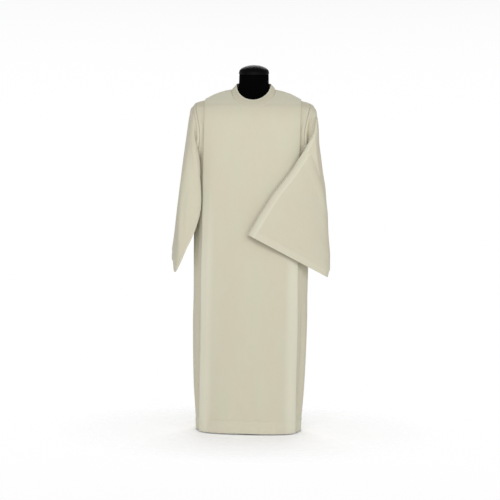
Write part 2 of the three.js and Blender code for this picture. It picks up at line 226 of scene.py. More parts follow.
def clothPiece(name, grid, flat, relief, doubledAndPaintedLight, outwards, wrap=False, wall=clothWall):
    # grid[row][column] is the cloth's outer face in millimetres and flat(row, column) its
    # place on the cut cloth; relief(row, column) lifts it along its normals, and the function
    # passed after relief says how far its colour goes, 0 to 1, to the lighter colour of painted light and
    # doubled cloth
    rows, columns = len(grid), len(grid[0])
    bm = bmesh.new()
    bmesh.ops.create_grid(bm, x_segments=columns - 1, y_segments=rows - 1, size=0.5)
    uvLayer = bm.loops.layers.uv.new("cloth")
    doubledAndPaintedLightLayer = bm.verts.layers.float.new("doubledAndPaintedLight")
    spots = {v: (round((0.5 - v.co.y) * (rows - 1)), round((v.co.x + 0.5) * (columns - 1)))
             for v in bm.verts}
    for f in bm.faces:
        for loop in f.loops:
            across, up = flat(*spots[loop.vert])
            loop[uvLayer].uv = (across * mm, up * mm)
    for v, (row, column) in spots.items():
        v.co = grid[row][column] * mm
    bm.normal_update()
    middle = next(v for v, spot in spots.items() if spot == (rows // 2, columns // 2))
    if middle.normal.dot(outwards) < 0:
        bmesh.ops.reverse_faces(bm, faces=bm.faces[:])
        bm.normal_update()
    normals = {spot: v.normal.copy() for v, spot in spots.items()}
    if wrap:
        for row in range(rows):
            shared = (normals[row, 0] + normals[row, columns - 1]).normalized()
            normals[row, 0] = normals[row, columns - 1] = shared
    for v, spot in spots.items():
        v.co += normals[spot] * (relief(*spot) * mm)
        v[doubledAndPaintedLightLayer] = doubledAndPaintedLight(*spot)
    if wrap:
        bmesh.ops.remove_doubles(bm, verts=bm.verts[:], dist=2e-6)
    piece = toObject(bm, name)
    thicken = piece.modifiers.new("wall", "SOLIDIFY")
    thicken.thickness = wall
    thicken.offset = -1
    return piece


class Flow:
    # a socket of a material's node tree, with arithmetic that adds Math nodes
    def __init__(self, tree, socket):
        self.tree = tree
        self.socket = socket

    def math(self, operation, first, second=None):
        node = self.tree.nodes.new("ShaderNodeMath")
        node.operation = operation
        for inlet, value in zip(node.inputs, (first, second)):
            if isinstance(value, Flow):
                self.tree.links.new(value.socket, inlet)
            elif value is not None:
                inlet.default_value = value
        return Flow(self.tree, node.outputs[0])

    def __add__(self, other):
        return self.math("ADD", self, other)

    def __radd__(self, other):
        return self.math("ADD", other, self)

    def __sub__(self, other):
        return self.math("SUBTRACT", self, other)

    def __rsub__(self, other):
        return self.math("SUBTRACT", other, self)

    def __mul__(self, other):
        return self.math("MULTIPLY", self, other)

    def __rmul__(self, other):
        return self.math("MULTIPLY", other, self)

    def __truediv__(self, other):
        return self.math("DIVIDE", self, other)

    def __rtruediv__(self, other):
        return self.math("DIVIDE", other, self)

    def __pow__(self, other):
        return self.math("POWER", self, other)

    def sine(self):
        return self.math("SINE", self)

    def clamped(self):
        return self.math("MAXIMUM", self.math("MINIMUM", self, 1.0), 0.0)


class Material:
    def __init__(self, name):
        self.data = bpy.data.materials.new(name)
        self.data.use_nodes = True
        self.tree = self.data.node_tree
        self.shader = next(n for n in self.tree.nodes if n.type == "BSDF_PRINCIPLED")

    def node(self, kind, outlet=0, settings=None, **values):
        node = self.tree.nodes.new(kind)
        for key, value in (settings or {}).items():
            setattr(node, key, value)
        for key, value in values.items():
            self.feed(node.inputs[key.replace("_", " ")], value)
        return Flow(self.tree, node.outputs[outlet])

    def feed(self, inlet, value):
        if isinstance(value, Flow):
            self.tree.links.new(value.socket, inlet)
        else:
            inlet.default_value = value

    def set(self, **values):
        for key, value in values.items():
            self.feed(self.shader.inputs[key.replace("_", " ")], value)

    def noise(self, place, scale, detail=2.0, stretch=(1, 1, 1)):
        placed = self.node("ShaderNodeMapping", Vector=place, Scale=stretch)
        return self.node("ShaderNodeTexNoise", Vector=placed, Scale=scale, Detail=detail)

    def blend(self, factor, dark, light):
        node = self.tree.nodes.new("ShaderNodeMix")
        node.data_type = "RGBA"
        self.feed(node.inputs[0], factor)
        for inlet, colour in ((node.inputs[6], dark), (node.inputs[7], light)):
            self.feed(inlet, colour if isinstance(colour, Flow) else (*colour, 1.0))
        return Flow(self.tree, node.outputs[2])


ivoryLook = {
    "light": (0.550, 0.530, 0.410),
    "warm": (0.560, 0.517, 0.402),
    "shade": (0.47, 0.44, 0.335),
    "doubledAndPaintedLight": (0.68, 0.67, 0.545),  # painted light on the folded edges, shoulders, sleeve fold and collar rim; also the doubled hems and cuffs
    "thread": 1.1,  # millimetres between two threads
    "slubAcross": 1100,  # how often the uneven threads change across and along them
    "slubAlong": 45,
    "weaveHeight": 0.00004,
    "slubHeight": 0.00010,
    "roughness": 0.82,
    "sheen": 0.15,
}


def clothMaterial(name, look):
    made = Material(name)
    uv = made.node("ShaderNodeUVMap", settings={"uv_map": "cloth"})
    parts = made.node("ShaderNodeSeparateXYZ", Vector=uv)
    across, up = parts, Flow(made.tree, parts.socket.node.outputs[1])
    turns = math.tau / (look["thread"] * mm)
    wander = made.noise(uv, 60, 1) * 0.4
    weave = (across * turns + wander).sine() * (up * turns + wander).sine()
    warpSlubs = made.noise(uv, 1.0, 2, (look["slubAcross"], look["slubAlong"], 1))
    weftSlubs = made.noise(uv, 1.0, 2, (look["slubAlong"], look["slubAcross"], 1))
    slubs = warpSlubs + weftSlubs
    broad = made.noise(uv, 7.0, 2, (1.6, 0.7, 1))
    cloudy = made.noise(uv, 28.0, 3)
    colour = made.blend(((broad - 0.38) * 4.0).clamped(), look["light"], look["warm"])
    uneven = ((slubs - 0.92) * 1.2 + (cloudy - 0.5) * 0.5).clamped()
    colour = made.blend(uneven * 0.35, colour, look["shade"])
    # painted light, and the doubled hems' paler tone, read from each piece's attribute
    doubledAndPaintedLight = made.node("ShaderNodeAttribute", outlet=2, settings={"attribute_name": "doubledAndPaintedLight"})
    colour = made.blend(doubledAndPaintedLight, colour, look["doubledAndPaintedLight"])
    height = weave * look["weaveHeight"] + (slubs - 1.0) * look["slubHeight"]
    raised = made.node("ShaderNodeBump", Height=height, Strength=0.55, Distance=1.0)
    made.set(Base_Color=colour, Normal=raised,
             Roughness=look["roughness"] + (slubs - 1.0) * 0.15)
    made.set(Sheen_Weight=look["sheen"], Sheen_Roughness=0.4, Specular_IOR_Level=0.2)
    return made.data


def creaseHeight(creases, across, z):
    # rows of a table: points the crease runs through, width, height; its ends fade out
    total = 0.0
    for points, width, height in creases:
        best, spot, length = 9e9, 0.0, 0.0
        for (x1, z1), (x2, z2) in zip(points, points[1:]):
            dx, dz = x2 - x1, z2 - z1
            size = math.hypot(dx, dz)
            t = ((across - x1) * dx + (z - z1) * dz) / (size * size)
            near = clamp(t, 0.0, 1.0)
            distance = math.hypot(across - x1 - near * dx, z - z1 - near * dz)
            if distance < best:
                best, spot = distance, length + near * size
            length += size
        if best < 3 * width:
            share = spot / length
            total += height * bump(best, width) * ease(share / 0.3) * ease((1 - share) / 0.3)
    return total


# the front and back panels

panelSize = {
    "halfWidth": 198, "columns": 50, "neckShare": 7 / 12, "bend": 1180,
    "upperRows": 60, "skirtRows": 190, "hemRows": 34, "cutLength": 1500, "turnedBack": 24,
}
# painted light on the panels: how much lighter the cloth is painted towards the folded edges,
# most low down, and over the shoulders, how pale the doubled hem is, and the heights and distances over
# which it changes
panelDoubledAndPaintedLight = {
    "edge": 0.62, "edgeFrom": 58, "edgeFade": 40, "edgeTop": 1080, "edgeTopFade": 420,
    "hem": 0.12, "shoulders": 0.45, "shouldersZ": 1326, "shouldersFade": 24,
}
# how far a folded edge is turned back, and how deep it lies, from its cut edge on
foldedEdge = [(22, 6.2), (16, 6.4), (10, 6.4), (5, 6.3), (2.2, 5.9), (0.7, 5.0),
              (-0.1, 3.8), (-0.3, 2.5), (-0.2, 1.2), (0.1, 0.3)]

frontCreases = [
    ([(-158, 1230), (-166, 700), (-160, 90)], 24, 3.0),
    ([(-112, 1000), (-104, 560), (-118, 230)], 30, -2.4),
    ([(-46, 900), (-30, 520), (-44, 120)], 34, 2.6),
    ([(18, 640), (30, 330), (22, 60)], 26, -2.2),
    ([(84, 860), (72, 420), (88, 30)], 34, -4.2),
    ([(150, 820), (158, 420), (146, 60)], 26, 3.2),
    ([(-70, 1290), (-96, 1120), (-92, 1000)], 26, -1.8),
    ([(88, 1296), (112, 1180), (104, 1060)], 24, -2.0),
    ([(0, 1300), (4, 1120), (-6, 900)], 40, 1.6),
    ([(-150, 330), (-140, 140), (-146, -30)], 22, -2.6),
    ([(-72, 300), (-66, 120), (-74, -40)], 22, 2.4),
    ([(46, 210), (52, 90), (50, -50)], 18, 2.2),
    ([(118, 260), (122, 100), (114, -50)], 18, -2.0),
]
backCreases = [
    ([(-150, 1180), (-162, 640), (-150, 60)], 26, 3.4),
    ([(-96, 1240), (-84, 760), (-104, 260)], 30, -3.6),
    ([(-28, 1120), (-42, 560), (-26, 40)], 36, 3.8),
    ([(40, 1260), (54, 900), (36, 420)], 30, -2.8),
    ([(96, 980), (82, 480), (100, 20)], 32, 4.2),
    ([(152, 1100), (146, 620), (158, 180)], 22, -3.0),
    ([(0, 1380), (6, 1290), (-4, 1180)], 30, -2.2),
    ([(-120, 280), (-112, 120), (-122, -60)], 20, -2.6),
    ([(20, 300), (28, 130), (16, -60)], 22, -2.8),
]


def columnHeights(top, upperRows, bend, skirtRows, hemRows):
    above = hemZ + hemDepth + 14
    heights = [mix(top, bend, (i / upperRows) ** 1.6) for i in range(upperRows)]
    heights += [mix(bend, above, i / skirtRows) for i in range(skirtRows)]
    return heights + [mix(above, hemZ, i / hemRows) for i in range(hemRows + 1)]


def edgeWander(z, face, hand):
    return 1.1 * math.sin(z / 171 + 2 * face + hand) + 0.7 * math.sin(z / 67 + hand * 1.7)


def foldRoom(z):
    # folds lie closer together over the shoulder
    return mix(0.55, 1.0, ease((1371 - z) / 120))


def panelColumn(face, share, shift=0.0, inward=0.0):
    size, hand = abs(share), -1 if share < 0 else 1
    neckShare = panelSize["neckShare"]
    if size < neckShare:
        cut = neckCutPoint(face * (1 - size / neckShare) * math.pi / 2)
        topX, topZ = cut.x, cut.z
    else:
        topX = mix(neckline["halfWidth"] + neckline["cut"], panelSize["halfWidth"],
                   (size - neckShare) / (1 - neckShare))
        topZ = ridgeZ(topX - shift)
    column = []
    for z in columnHeights(topZ, panelSize["upperRows"], panelSize["bend"],
                           panelSize["skirtRows"], panelSize["hemRows"]):
        x = mix(topX, size * panelSize["halfWidth"], ease((topZ - z) / 160)) - shift
        x += edgeWander(z, face, hand) * size ** 6 * ease((topZ - z) / 60)
        column.append(gownAtX(x * hand, z, face, inward * foldRoom(z)))
    return column


def panel(name, face, creases, material):
    half = panelSize["columns"]
    width = panelSize["halfWidth"]
    inset = 0.25  # the first column inside the folded edge
    spread = [i / half * (width - inset) / width for i in range(-half, half + 1)]
    columns = [panelColumn(face, -1, *edge) for edge in foldedEdge]
    columns += [panelColumn(face, share) for share in spread]
    columns += [panelColumn(face, 1, *edge) for edge in reversed(foldedEdge)]
    turned = len(foldedEdge)
    folded = [-width - 2 - panelSize["turnedBack"] * (turned - i) / turned for i in range(turned)]
    across = folded + [share * width for share in spread] + [-a for a in reversed(folded)]
    grid = [[column[row] for column in columns] for row in range(len(columns[0]))]
    lengths = [0.0]
    for row in range(1, len(grid)):
        step = grid[row][turned + half] - grid[row - 1][turned + half]
        lengths.append(lengths[-1] + step.length)
    neckDepth = neckline["frontDepth"] if face < 0 else neckline["backDepth"]

    def flat(row, column):
        return across[column] + width, panelSize["cutLength"] - lengths[row]

    def relief(row, column):
        p = grid[row][column]
        inside = ease((width - 4 - abs(p.x)) / 26)
        if not inside or not turned <= column < len(columns) - turned:
            return 0.0
        value = creaseHeight(creases, p.x, p.z) * ease((1400 - p.z) / 140)
        value += hemRelief(p.z - hemZ, p.x)
        # the seams round the neck and along the shoulders lie a little lower
        fromNeck = math.hypot(p.x / neckline["halfWidth"], (p.y - seamY) / neckDepth)
        neckSeam = bump((fromNeck - 1.12) * neckline["halfWidth"], 3.0)
        value -= 0.8 * neckSeam * ease((fromNeck - 1.02) / 0.05)
        value -= 0.5 * bump(p.y - seamY, 2.0)
        return value * inside

    def doubledAndPaintedLight(row, column):
        p, tone = grid[row][column], panelDoubledAndPaintedLight
        # painted light: the folded edges painted lighter, fading out above the waist
        edge = tone["edge"] * ease((abs(p.x) - (width - tone["edgeFrom"])) / tone["edgeFade"])
        edge *= ease((tone["edgeTop"] - p.z) / tone["edgeTopFade"])
        # the doubled hem a little paler
        hem = tone["hem"] * ease((hemDepth - (p.z - hemZ)) / 5)
        # painted light lifting the shaded tone over the shoulders
        shoulders = tone["shoulders"] * ease((p.z - tone["shouldersZ"]) / tone["shouldersFade"])
        return max(edge, hem, shoulders)

    piece = clothPiece(name + "_cloth", grid, flat, relief, doubledAndPaintedLight, Vector((0, face, 0)))
    return finishPiece(piece, material, [name])


ivoryCloth = clothMaterial("panel_cloth", ivoryLook)
panel("front_panel", -1, frontCreases, ivoryCloth)
panel("back_panel", 1, backCreases, ivoryCloth)


# the side pieces, between the panels and the side seams

sideSize = {"start": 180, "inset": 8.8, "columns": 34, "armholeRows": 70, "skirtRows": 165,
            "hemRows": 30}
armholeFoot = armhole["z"] - armhole["halfHeight"]

# across is the distance round from the panel
sideCreases = {
    "side_front_right": [
        ([(52, 560), (44, 300), (54, 20)], 13, -5.0),
        ([(92, 600), (100, 330), (88, 40)], 14, 4.0),
        ([(62, 1330), (48, 1285), (34, 1240)], 9, -3.0),
        ([(66, 1000), (60, 820), (70, 640)], 12, -3.0),
    ],
    "side_front_left": [
        ([(56, 600), (62, 320), (50, 10)], 13, -4.5),
        ([(96, 560), (88, 300), (98, 30)], 13, 4.5),
        ([(60, 1320), (46, 1270), (36, 1220)], 9, -2.6),
        ([(70, 960), (76, 780), (66, 600)], 12, -3.0),
    ],
    "side_back_right": [
        ([(50, 900), (60, 500), (48, 60)], 14, -5.0),
        ([(98, 700), (90, 360), (104, -20)], 14, 4.0),
    ],
    "side_back_left": [
        ([(54, 860), (46, 420), (58, 30)], 14, -4.6),
        ([(92, 640), (102, 330), (90, -20)], 13, 4.4),
    ],
}


def armholeAngle(turn):
    return armhole["cut"] * max(math.sin(turn), 0.0) ** 0.85


def sidePiece(name, face, hand, material):
    rows = sideSize["armholeRows"]
    startHeights = columnHeights(ridgeZ(sideSize["start"]), rows, armholeFoot,
                                 sideSize["skirtRows"], sideSize["hemRows"])
    grid = []
    for row, startZ in enumerate(startHeights):
        turn = min(row / rows, 1.0) * math.pi
        endAngle = armholeAngle(turn) if row < rows else 0.0
        endZ = armhole["z"] + armhole["halfHeight"] * math.cos(turn) if row < rows else startZ
        startAngle = angleAtX(sideSize["start"], startZ)
        line = []
        for column in range(sideSize["columns"] + 1):
            share = column / sideSize["columns"]
            inward = mix(sideSize["inset"] * foldRoom(startZ), 0.15, ease((share - 0.45) / 0.55))
            angle, z = mix(startAngle, endAngle, share), mix(startZ, endZ, share)
            p = gownAtAngle(angle, z, face, inward)
            line.append(Vector((hand * p.x, p.y, p.z)))
        grid.append(line)
    along = []
    for line in grid:
        distances = [0.0]
        for a, b in zip(line, line[1:]):
            distances.append(distances[-1] + (b - a).length)
        along.append(distances)

    def flat(row, column):
        return along[row][column], grid[row][column].z

    def relief(row, column):
        p, across = grid[row][column], along[row][column]
        free = ease((across - 28) / 14) * ease((along[row][-1] - across) / 10)
        value = creaseHeight(sideCreases[name], across, p.z) * free
        value += hemRelief(p.z - hemZ, across + 300) * ease((across - 24) / 8)
        return value - 0.25 * bump(along[row][-1] - across, 2.0)

    def doubledAndPaintedLight(row, column):
        return panelDoubledAndPaintedLight["hem"] * ease((hemDepth - (grid[row][column].z - hemZ)) / 5)

    piece = clothPiece(name + "_cloth", grid, flat, relief, doubledAndPaintedLight, Vector((hand, face * 0.6, 0)))
    return finishPiece(piece, material, [name])


for name, face, hand in (("side_front_right", -1, -1), ("side_front_left", -1, 1),
                         ("side_back_right", 1, -1), ("side_back_left", 1, 1)):
    sidePiece(name, face, hand, ivoryCloth)


# the sleeves

sleeveSize = {"around": 144, "rows": 170, "margin": 0.2, "stand": 9.0, "hemDepth": 30,
              "cutWidth": 620, "rowCrowding": 1.12}
# the edge folded over the arm: the groove beside it and a painted highlight along it, a lighter
# strip and a brighter line, in millimetres from the fold, and how strongly each sleeve's painted highlight
# is laid on
sleeveFold = {"reach": 130, "power": 0.69, "grooveAt": 27, "grooveDepth": 1.8, "grooveWidth": 4.0,
              "stripTo": 25, "foldPaintedLight": 0.2, "brightAt": 20, "foldPaintedHighlight": 0.4,
              "sleeve_right": 0.0, "sleeve_left": 0.8}
# a section: its over edge and its under edge, its front and back side measured from the
# middle of the two edges, how square it is, and how far the front's outer and inner
# corners are moved; x is away from the neck
sleeveRight = [
    ((246, 8, 1347), (247, 8, 1088), (-20, -88, 6), (-16, 84, 6), 2.1, (0, 0, 0), (0, 0, 0)),
    ((262, 8, 1328), (248, 8, 1074), (-22, -94, 4), (-10, 88, 2), 2.2, (2, -2, 0), (-12, -20, 0)),
    ((270, 7, 1280), (247, 8, 1056), (-28, -104, 2), (-6, 92, 0), 2.3, (4, -4, 0), (-15, -15, 0)),
    ((280, 6, 1200), (246, 10, 1030), (-34, -112, 0), (-4, 96, 0), 2.3, (8, -8, 0), (-16, -12, 0)),
    ((291, 5, 1110), (245, 10, 1000), (-40, -116, -2), (-2, 100, -4), 2.3, (14, -12, 0), (-16, -12, 0)),
    ((302, 5, 1010), (245, 10, 970), (-44, -120, -6), (-2, 102, -8), 2.3, (17, -14, -4), (-18, -12, 4)),
    ((314, 6, 900), (244, 10, 940), (-46, -120, -10), (-2, 104, -14), 2.4, (16, -14, -14), (-18, -12, 14)),
    ((324, 8, 800), (242, 10, 912), (-44, -118, -16), (0, 106, -20), 2.4, (14, -12, -26), (-18, -12, 26)),
    ((331, 8, 746), (239, 8, 896), (-40, -116, -22), (2, 106, -26), 2.4, (12, -9, -42), (-16, -10, 36)),
    ((331, 8, 702), (237, 6, 880), (-36, -114, -26), (4, 106, -30), 2.4, (12, -6, -54), (-14, -8, 44)),
]
sleeveLeft = [
    ((247, -2, 1346), (250, 6, 1082), (-18, -80, 6), (-6, 78, 0), 2.2, (0, 0, 0), (0, 0, 0)),
    ((260, -24, 1324), (264, 4, 1056), (-8, -76, 2), (4, 60, 0), 2.3, (0, 0, 0), (0, 0, 0)),
    ((262, -66, 1290), (278, -4, 1014), (0, -60, 0), (10, 32, 0), 2.5, (0, 0, 0), (0, 0, 0)),
    ((251, -96, 1224), (295, -16, 952), (0, -44, 0), (18, -2, 0), 2.7, (0, 0, 0), (0, 0, 0)),
    ((218, -113, 1154), (309, -28, 884), (-2, -24, 0), (14, -26, 0), 2.9, (0, 0, 0), (0, 0, 0)),
    ((168, -125, 1072), (318, -38, 808), (-2, -14, 0), (6, -30, 0), 3.0, (0, 0, 0), (0, 0, 0)),
    ((92, -135, 972), (325, -46, 732), (0, -16, 0), (2, -38, 0), 3.0, (0, 0, 0), (0, 0, 0)),
    ((32, -139, 876), (325, -52, 674), (0, -18, 0), (2, -42, 0), 3.0, (0, 0, 0), (0, 0, 0)),
    ((-8, -141, 805), (317, -56, 638), (0, -20, 0), (0, -44, 0), 3.0, (0, 0, 0), (0, 0, 0)),
]

# creases as seen from the front or the back: points (x, z), width, height
sleeveRightCreases = {
    "front": [
        ([(-283, 1130), (-290, 900), (-290, 690)], 9, 5.4),
        ([(-307, 1080), (-315, 860), (-314, 700)], 12, -5.6),
        ([(-262, 1290), (-276, 1130), (-280, 960)], 14, 2.4),
        ([(-262, 1010), (-272, 900), (-276, 780)], 9, -1.8),
        ([(-238, 1210), (-226, 1120), (-220, 1030)], 14, 8.0),
    ],
    "back": [
        ([(-262, 1300), (-280, 1120), (-290, 930)], 14, 2.6),
        ([(-246, 1270), (-262, 1100), (-270, 960)], 9, -3.0),
        ([(-300, 1040), (-306, 880), (-300, 720)], 10, -2.6),
    ],
}
sleeveLeftCreases = {
    "front": [
        ([(270, 1335), (262, 1290), (246, 1235)], 6, -4.0),
        ([(254, 1330), (246, 1270), (232, 1215)], 7, 2.6),
        ([(232, 1130), (222, 960), (214, 740)], 17, -4.6),
        ([(262, 1080), (262, 900), (268, 720)], 18, 2.6),
        ([(164, 1010), (128, 900), (88, 800)], 22, 1.8),
        ([(198, 980), (172, 860), (150, 760)], 18, -1.6),
    ],
    "back": [
        ([(262, 1270), (290, 1140), (304, 1000)], 11, -3.0),
        ([(280, 1060), (300, 900), (306, 780)], 13, 2.6),
    ],
}


def clearOfGown(p, clearance):
    # pushed out of the gown, except where the armhole is open
    halfWidth, front, back, square = gownAt(p.z)
    depth = front if p.y < seamY else back
    angle = math.atan2((abs(p.y - seamY) / depth) ** (square / 2),
                       (abs(p.x) / halfWidth) ** (square / 2))
    cut = armholeAngle(math.acos(clamp((p.z - armhole["z"]) / armhole["halfHeight"], -1, 1)))
    share = ease((angle - cut) / sleeveSize["margin"] + 1)
    reach = gownReach(p)
    wanted = 1 + clearance / depth
    if reach >= wanted:
        return p
    grow = mix(1, wanted / reach, share)
    return Vector((p.x * grow, seamY + (p.y - seamY) * grow, p.z))


def sleevePoint(section, turn, nearGap, farGap):
    over, under, front, back, square, outer, inner = section
    over, under = Vector(over), Vector(under)
    middle = (over + under) / 2
    bulge = Vector(front if math.sin(turn) > 0 else back) * abs(math.sin(turn)) ** (2 / square)
    p = middle + (over - middle) * signedPower(math.cos(turn), 2 / square) + bulge
    if math.sin(turn) > 0:
        p += Vector(outer if math.cos(turn) > 0 else inner) * math.sin(2 * turn) ** 2
    gap = nearGap if math.sin(turn) > 0 else mix(nearGap, farGap, -math.sin(turn))
    return clearOfGown(p, gap)


def halfway(a, b):
    return [(one + two) / 2 if isinstance(one, float) else tuple((Vector(one) + Vector(two)) / 2)
            for one, two in zip(a, b)]


def fromFold(turn):
    return (1 - max(math.cos(turn), 0.0) ** sleeveFold["power"]) * sleeveFold["reach"]


def sleeve(name, sections, hand, nearGap, farGap, creases, material):
    around, rows = sleeveSize["around"], sleeveSize["rows"]
    fine = []
    for section, following in zip(sections, sections[1:]):
        fine += [section, halfway(section, following)]
    fine.append(sections[-1])
    columns, lengths = [], []
    for column in range(around):
        turn = column / around * math.tau
        half = min(turn, math.tau - turn)
        seamZ = armhole["z"] + armhole["halfHeight"] * math.cos(half)
        seam = gownAtAngle(armholeAngle(half), seamZ, -1 if turn < math.pi else 1)
        seam += Vector((0.3, 0, -0.2 * math.cos(half)))
        path = [seam, seam + Vector((sleeveSize["stand"], 0, -4 * max(math.cos(half), 0.0)))]
        path += [sleevePoint(section, turn, nearGap, farGap) for section in fine]
        table, distance = [], 0.0
        for i, p in enumerate(path):
            distance += (p - path[i - 1]).length if i else 0.0
            table.append((distance, *p))
        line = []
        for row in range(rows + 1):
            at = distance * (1 - (1 - row / rows) ** sleeveSize["rowCrowding"])
            p = Vector(curveThrough(table, at))
            if at > table[2][0]:
                p = clearOfGown(p, nearGap)
            line.append(Vector((p.x * hand, p.y, p.z)))
        columns.append(line)
        lengths.append(distance)
    columns.append([p.copy() for p in columns[0]])
    lengths.append(lengths[0])
    grid = [[line[row] for line in columns] for row in range(rows + 1)]
    toCuff = []
    for line in columns:
        distances = [0.0]
        for a, b in zip(reversed(line[1:]), reversed(line[:-1])):
            distances.append(distances[-1] + (b - a).length)
        toCuff.append(distances[::-1])

    centre = sum((grid[rows // 2][c] for c in range(around)), Vector()) / around
    outwards = grid[rows // 2][around // 2] - centre

    def flat(row, column):
        return column / around * sleeveSize["cutWidth"], toCuff[column][row]

    def relief(row, column):
        p = grid[row][column]
        turn = column / around * math.tau
        side = "front" if math.sin(turn) > 0 else "back"
        value = creaseHeight(creases[side], p.x, p.z) * ease(abs(math.sin(turn)) / 0.5)
        across, up = flat(row, column)
        value += hemRelief(up, across + 40, sleeveSize["hemDepth"]) * 0.8
        if name == "sleeve_left" and side == "front":
            groove = bump(fromFold(turn) - sleeveFold["grooveAt"], sleeveFold["grooveWidth"])
            below = ease((row / rows - 0.2) / 0.1)
            value -= sleeveFold["grooveDepth"] * groove * below * math.sin(turn) ** (2 / 2.9)
        return value

    def doubledAndPaintedLight(row, column):
        # the turned-up cuff, doubled and a little paler, and the painted highlight along the folded edge
        cuff = 0.15 * ease((sleeveSize["hemDepth"] - toCuff[column][row]) / 4)
        inside = fromFold(column / around * math.tau)
        foldPaintedLight = sleeveFold["foldPaintedLight"] * ease((sleeveFold["stripTo"] - inside) / 5)
        foldPaintedLight += sleeveFold["foldPaintedHighlight"] * bump(inside - sleeveFold["brightAt"], 3.0)
        return max(cuff, sleeveFold[name] * foldPaintedLight * ease((row / rows - 0.12) / 0.1))

    piece = clothPiece(name + "_cloth", grid, flat, relief, doubledAndPaintedLight, outwards, wrap=True)
    return finishPiece(piece, material, [name])


sleeve("sleeve_right", sleeveRight, -1, 4, 4, sleeveRightCreases,
       ivoryCloth)
sleeve("sleeve_left", sleeveLeft, 1, 4, 18, sleeveLeftCreases,
       ivoryCloth)


# the collar

collarSize = {"around": 168, "rows": 22, "bow": 1.6, "wall": 2.0 * mm, "cutLength": 520,
              "cutHeight": 40, "height": 38, "rimPaintedHighlight": 0.8}


def collar(material):
    grid, rows, around = [], collarSize["rows"], collarSize["around"]
    for row in range(rows + 1):
        share = row / rows
        line = []
        for column in range(around + 1):
            angle = column % around / around * math.tau
            low, high = necklinePoint(angle), collarTopPoint(angle)
            p = low.lerp(high, share)
            out = Vector((math.cos(angle), math.sin(angle), 0))
            line.append(p + out * collarSize["bow"] * math.sin(math.pi * share))
        grid.append(line)

    def flat(row, column):
        return column / around * collarSize["cutLength"], row / rows * collarSize["cutHeight"]

    def relief(row, column):
        # a rounded rim with stitching below it, slight waves, and the seam at the neck
        up = row / rows
        below = (1 - up) * collarSize["height"]
        value = 1.0 * bump(below, 2.4) - 0.5 * bump(below - 6.5, 1.6)
        value += 0.35 * math.sin(column / around * math.tau * 5 + 1.0) * math.sin(math.pi * up)
        return value - 0.5 * bump(up * collarSize["height"], 2.0)

    def doubledAndPaintedLight(row, column):
        # a painted highlight along the collar's rim
        return collarSize["rimPaintedHighlight"] * ease((row / rows - 0.90) / 0.05)

    piece = clothPiece("collar_cloth", grid, flat, relief, doubledAndPaintedLight, Vector((-1, 0, 0)), wrap=True,
                       wall=collarSize["wall"])
    return finishPiece(piece, material, ["collar"])


collar(ivoryCloth)


# the dress form in level sections: z, half width, depth, y of the middle, squareness
formSections = [
    (872, 92, 66, 10, 2.2), (880, 136, 96, 10, 2.3), (930, 156, 106, 10, 2.3),
    (1000, 150, 102, 10, 2.3), (1080, 148, 98, 8, 2.3), (1180, 162, 98, 8, 2.3),
    (1260, 172, 88, 10, 2.2), (1310, 174, 74, 12, 2.1), (1345, 168, 62, 14, 1.9),
    (1368, 156, 57, 14, 1.7), (1384, 136, 55, 13, 1.5), (1396, 106, 54, 12, 1.5),
    (1406, 78, 54, 10, 1.8), (1418, 65, 54, 8, 2.0), (1474, 61, 56, 5, 2.0),
]
formSize = {"around": 96, "ringStep": 7, "neckTilt": 0.2, "tiltFrom": 1418,
            "seamSpread": 0.1, "seamDepth": 0.012, "seamWidth": 0.03}
formTop, _, _, formTopY, _ = formSections[-1]
capSize = {"halfWidth": 62.5, "depth": 59, "y": 4, "rim": 9, "dome": 29, "gap": 0.4, "rings": 26}
# how wide the cap's rim is, as a share, at each height above its foot
capRim = [(0.985, 0), (0.997, 0.8), (1.0, 2), (1.0, 5), (0.999, 7.6), (0.990, 8.6)]
jerseyLook = {"dark": (0.0009, 0.0009, 0.001), "light": (0.0018, 0.0018, 0.002), "ribs": 0.0016}


def solidPiece(name, grid, material, nodes):
    # a closed body through rings of points, its ends filled
    rows, columns = len(grid), len(grid[0])
    bm = bmesh.new()
    bmesh.ops.create_grid(bm, x_segments=columns, y_segments=rows - 1, size=0.5)
    for v in bm.verts:
        row, column = round((0.5 - v.co.y) * (rows - 1)), round((v.co.x + 0.5) * columns)
        v.co = grid[row][column % columns] * mm
    bmesh.ops.remove_doubles(bm, verts=bm.verts[:], dist=2e-6)
    bmesh.ops.holes_fill(bm, edges=[e for e in bm.edges if e.is_boundary], sides=0)
    bmesh.ops.recalc_face_normals(bm, faces=bm.faces[:])
    return finishPiece(toObject(bm, name), material, nodes)


def formRing(halfWidth, depth, y, square, z, tilt=0.0, groove=None):
    ring = []
    for column in range(formSize["around"]):
        angle = column / formSize["around"] * math.tau
        dip = 1 - (groove(angle) if groove else 0.0)
        x = halfWidth * dip * signedPower(math.cos(angle), 2 / square)
        across = depth * dip * signedPower(math.sin(angle), 2 / square)
        ring.append(Vector((x, y + across, z + tilt * across)))
    return ring


def formSeams(angle):
    # three seams down the front and three down the back
    spread = formSize["seamSpread"]
    places = [math.tau * (side + s) for side in (0.75, 0.25) for s in (-spread, 0, spread)]
    return sum(formSize["seamDepth"] * bump(math.remainder(angle - place, math.tau),
                                            formSize["seamWidth"]) for place in places)


